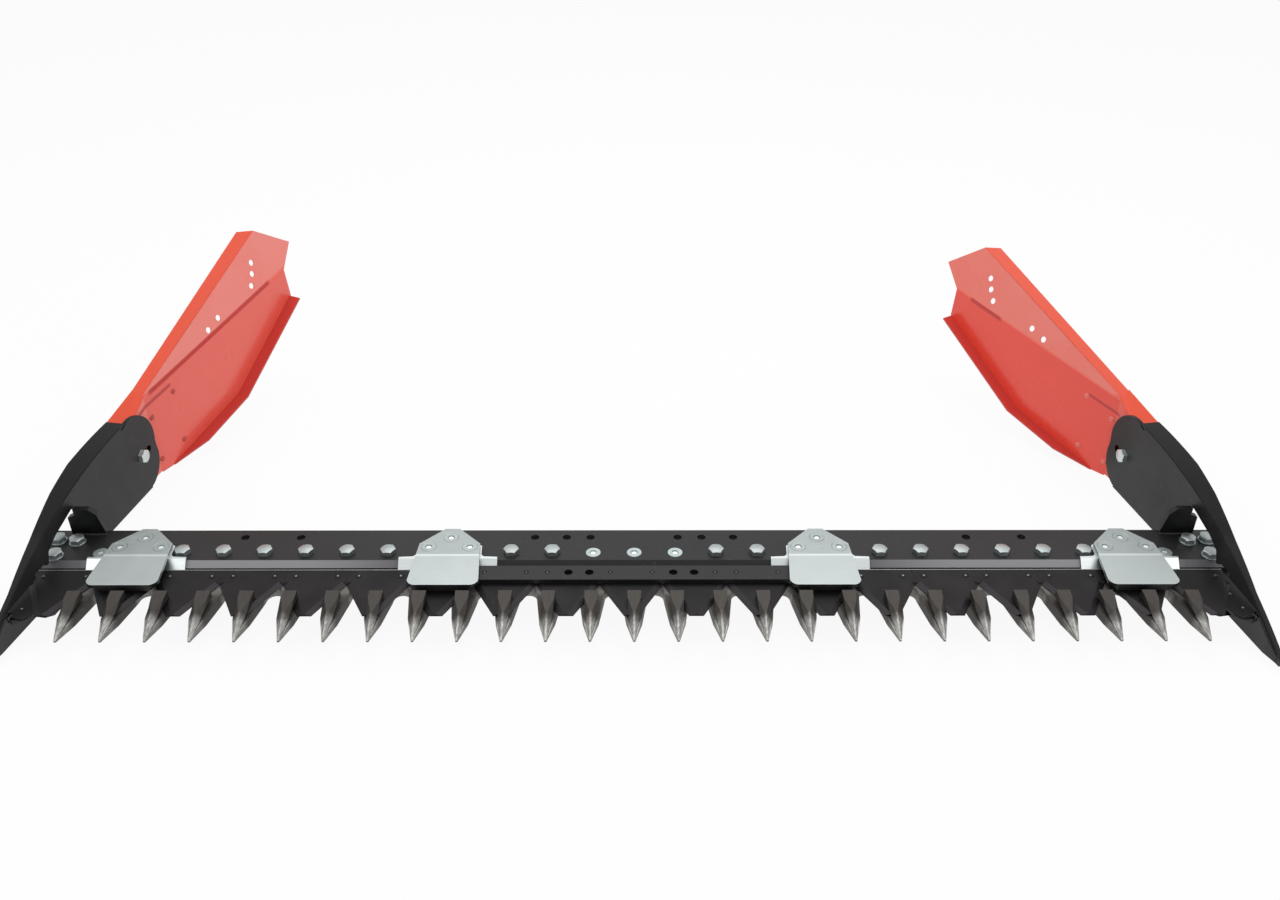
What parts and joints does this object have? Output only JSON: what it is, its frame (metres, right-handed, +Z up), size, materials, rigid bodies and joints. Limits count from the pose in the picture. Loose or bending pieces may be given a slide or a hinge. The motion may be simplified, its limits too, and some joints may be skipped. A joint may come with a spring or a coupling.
{
  "type": "sickle bar mower",
  "caption": "Finger-bar cutter with a stroking toothed knife under holder clips, curved end shoes and folded swath boards.",
  "frame": {"origin": "middle of the drive bracket's hole line, on the bar's top face", "axes": "+X along the bar to the right seen from the front, +Y backward away from the finger tips, +Z up"},
  "size_m": [1.4912, 0.7133, 0.2643],
  "materials": {
    "black_paint": "satin",
    "shoe_paint": "satin",
    "finger_steel": "forged, oiled",
    "blade_steel": "hardened, dark",
    "ledger_steel": "hardened, dark",
    "rivet_steel": "plain, dark",
    "zinc_plate": "zinc plated",
    "zinc_bolts": "zinc plated",
    "red_paint": "semi-gloss"
  },
  "bodies": {
    "bar": {"finger_bar": "black_paint", "double_finger_01": "finger_steel", "double_finger_02": "finger_steel", "double_finger_03": "finger_steel", "double_finger_04": "finger_steel", "double_finger_05": "finger_steel", "double_finger_06": "finger_steel", "double_finger_07": "finger_steel", "double_finger_08": "finger_steel", "double_finger_09": "finger_steel", "double_finger_10": "finger_steel", "double_finger_11": "finger_steel", "double_finger_12": "finger_steel", "double_finger_13": "finger_steel", "single_finger": "finger_steel", "finger_bolts": "zinc_bolts", "flush_screws": "zinc_bolts", "knife_guide_1": "zinc_plate", "knife_guide_2": "zinc_plate", "knife_guide_3": "zinc_plate", "knife_guide_4": "zinc_plate", "knife_holder_1": "zinc_plate", "knife_holder_2": "zinc_plate", "knife_holder_3": "zinc_plate", "knife_holder_4": "zinc_plate", "holder_screws": "zinc_bolts", "left_shoe": "shoe_paint", "right_shoe": "shoe_paint", "shoe_ledgers": "ledger_steel", "shoe_bolts": "zinc_bolts", "left_pivot_bolt": "zinc_bolts", "right_pivot_bolt": "zinc_bolts"},
    "knife": {"knife_back": "blade_steel", "knife_section_01": "blade_steel", "knife_section_02": "blade_steel", "knife_section_03": "blade_steel", "knife_section_04": "blade_steel", "knife_section_05": "blade_steel", "knife_section_06": "blade_steel", "knife_section_07": "blade_steel", "knife_section_08": "blade_steel", "knife_section_09": "blade_steel", "knife_section_10": "blade_steel", "knife_section_11": "blade_steel", "knife_section_12": "blade_steel", "knife_section_13": "blade_steel", "knife_section_14": "blade_steel", "knife_section_15": "blade_steel", "knife_section_16": "blade_steel", "knife_section_17": "blade_steel", "knife_section_18": "blade_steel", "knife_section_19": "blade_steel", "knife_rivets": "rivet_steel", "knife_head_bar": "black_paint"},
    "left_board": {"left_swath_board": "red_paint", "left_board_bracket": "red_paint", "left_board_rivets": "red_paint"},
    "right_board": {"right_swath_board": "red_paint", "right_board_bracket": "red_paint", "right_board_rivets": "red_paint"}
  },
  "joints": [
    {"name": "knife_slide", "type": "slide", "parent": "bar", "child": "knife", "axis": [1, 0, 0], "range_m": [-0.0346, 0.0416]},
    {"name": "left_board_pivot", "type": "hinge", "parent": "bar", "child": "left_board", "pos_m": [-0.68058, 0.167, 0.016], "axis": [0.9848, -0.1736, 0], "range_deg": [-4.5, 15]},
    {"name": "right_board_pivot", "type": "hinge", "parent": "bar", "child": "right_board", "pos_m": [0.68058, 0.167, 0.016], "axis": [0.9848, 0.1736, 0], "range_deg": [0, 18]}
  ]
}
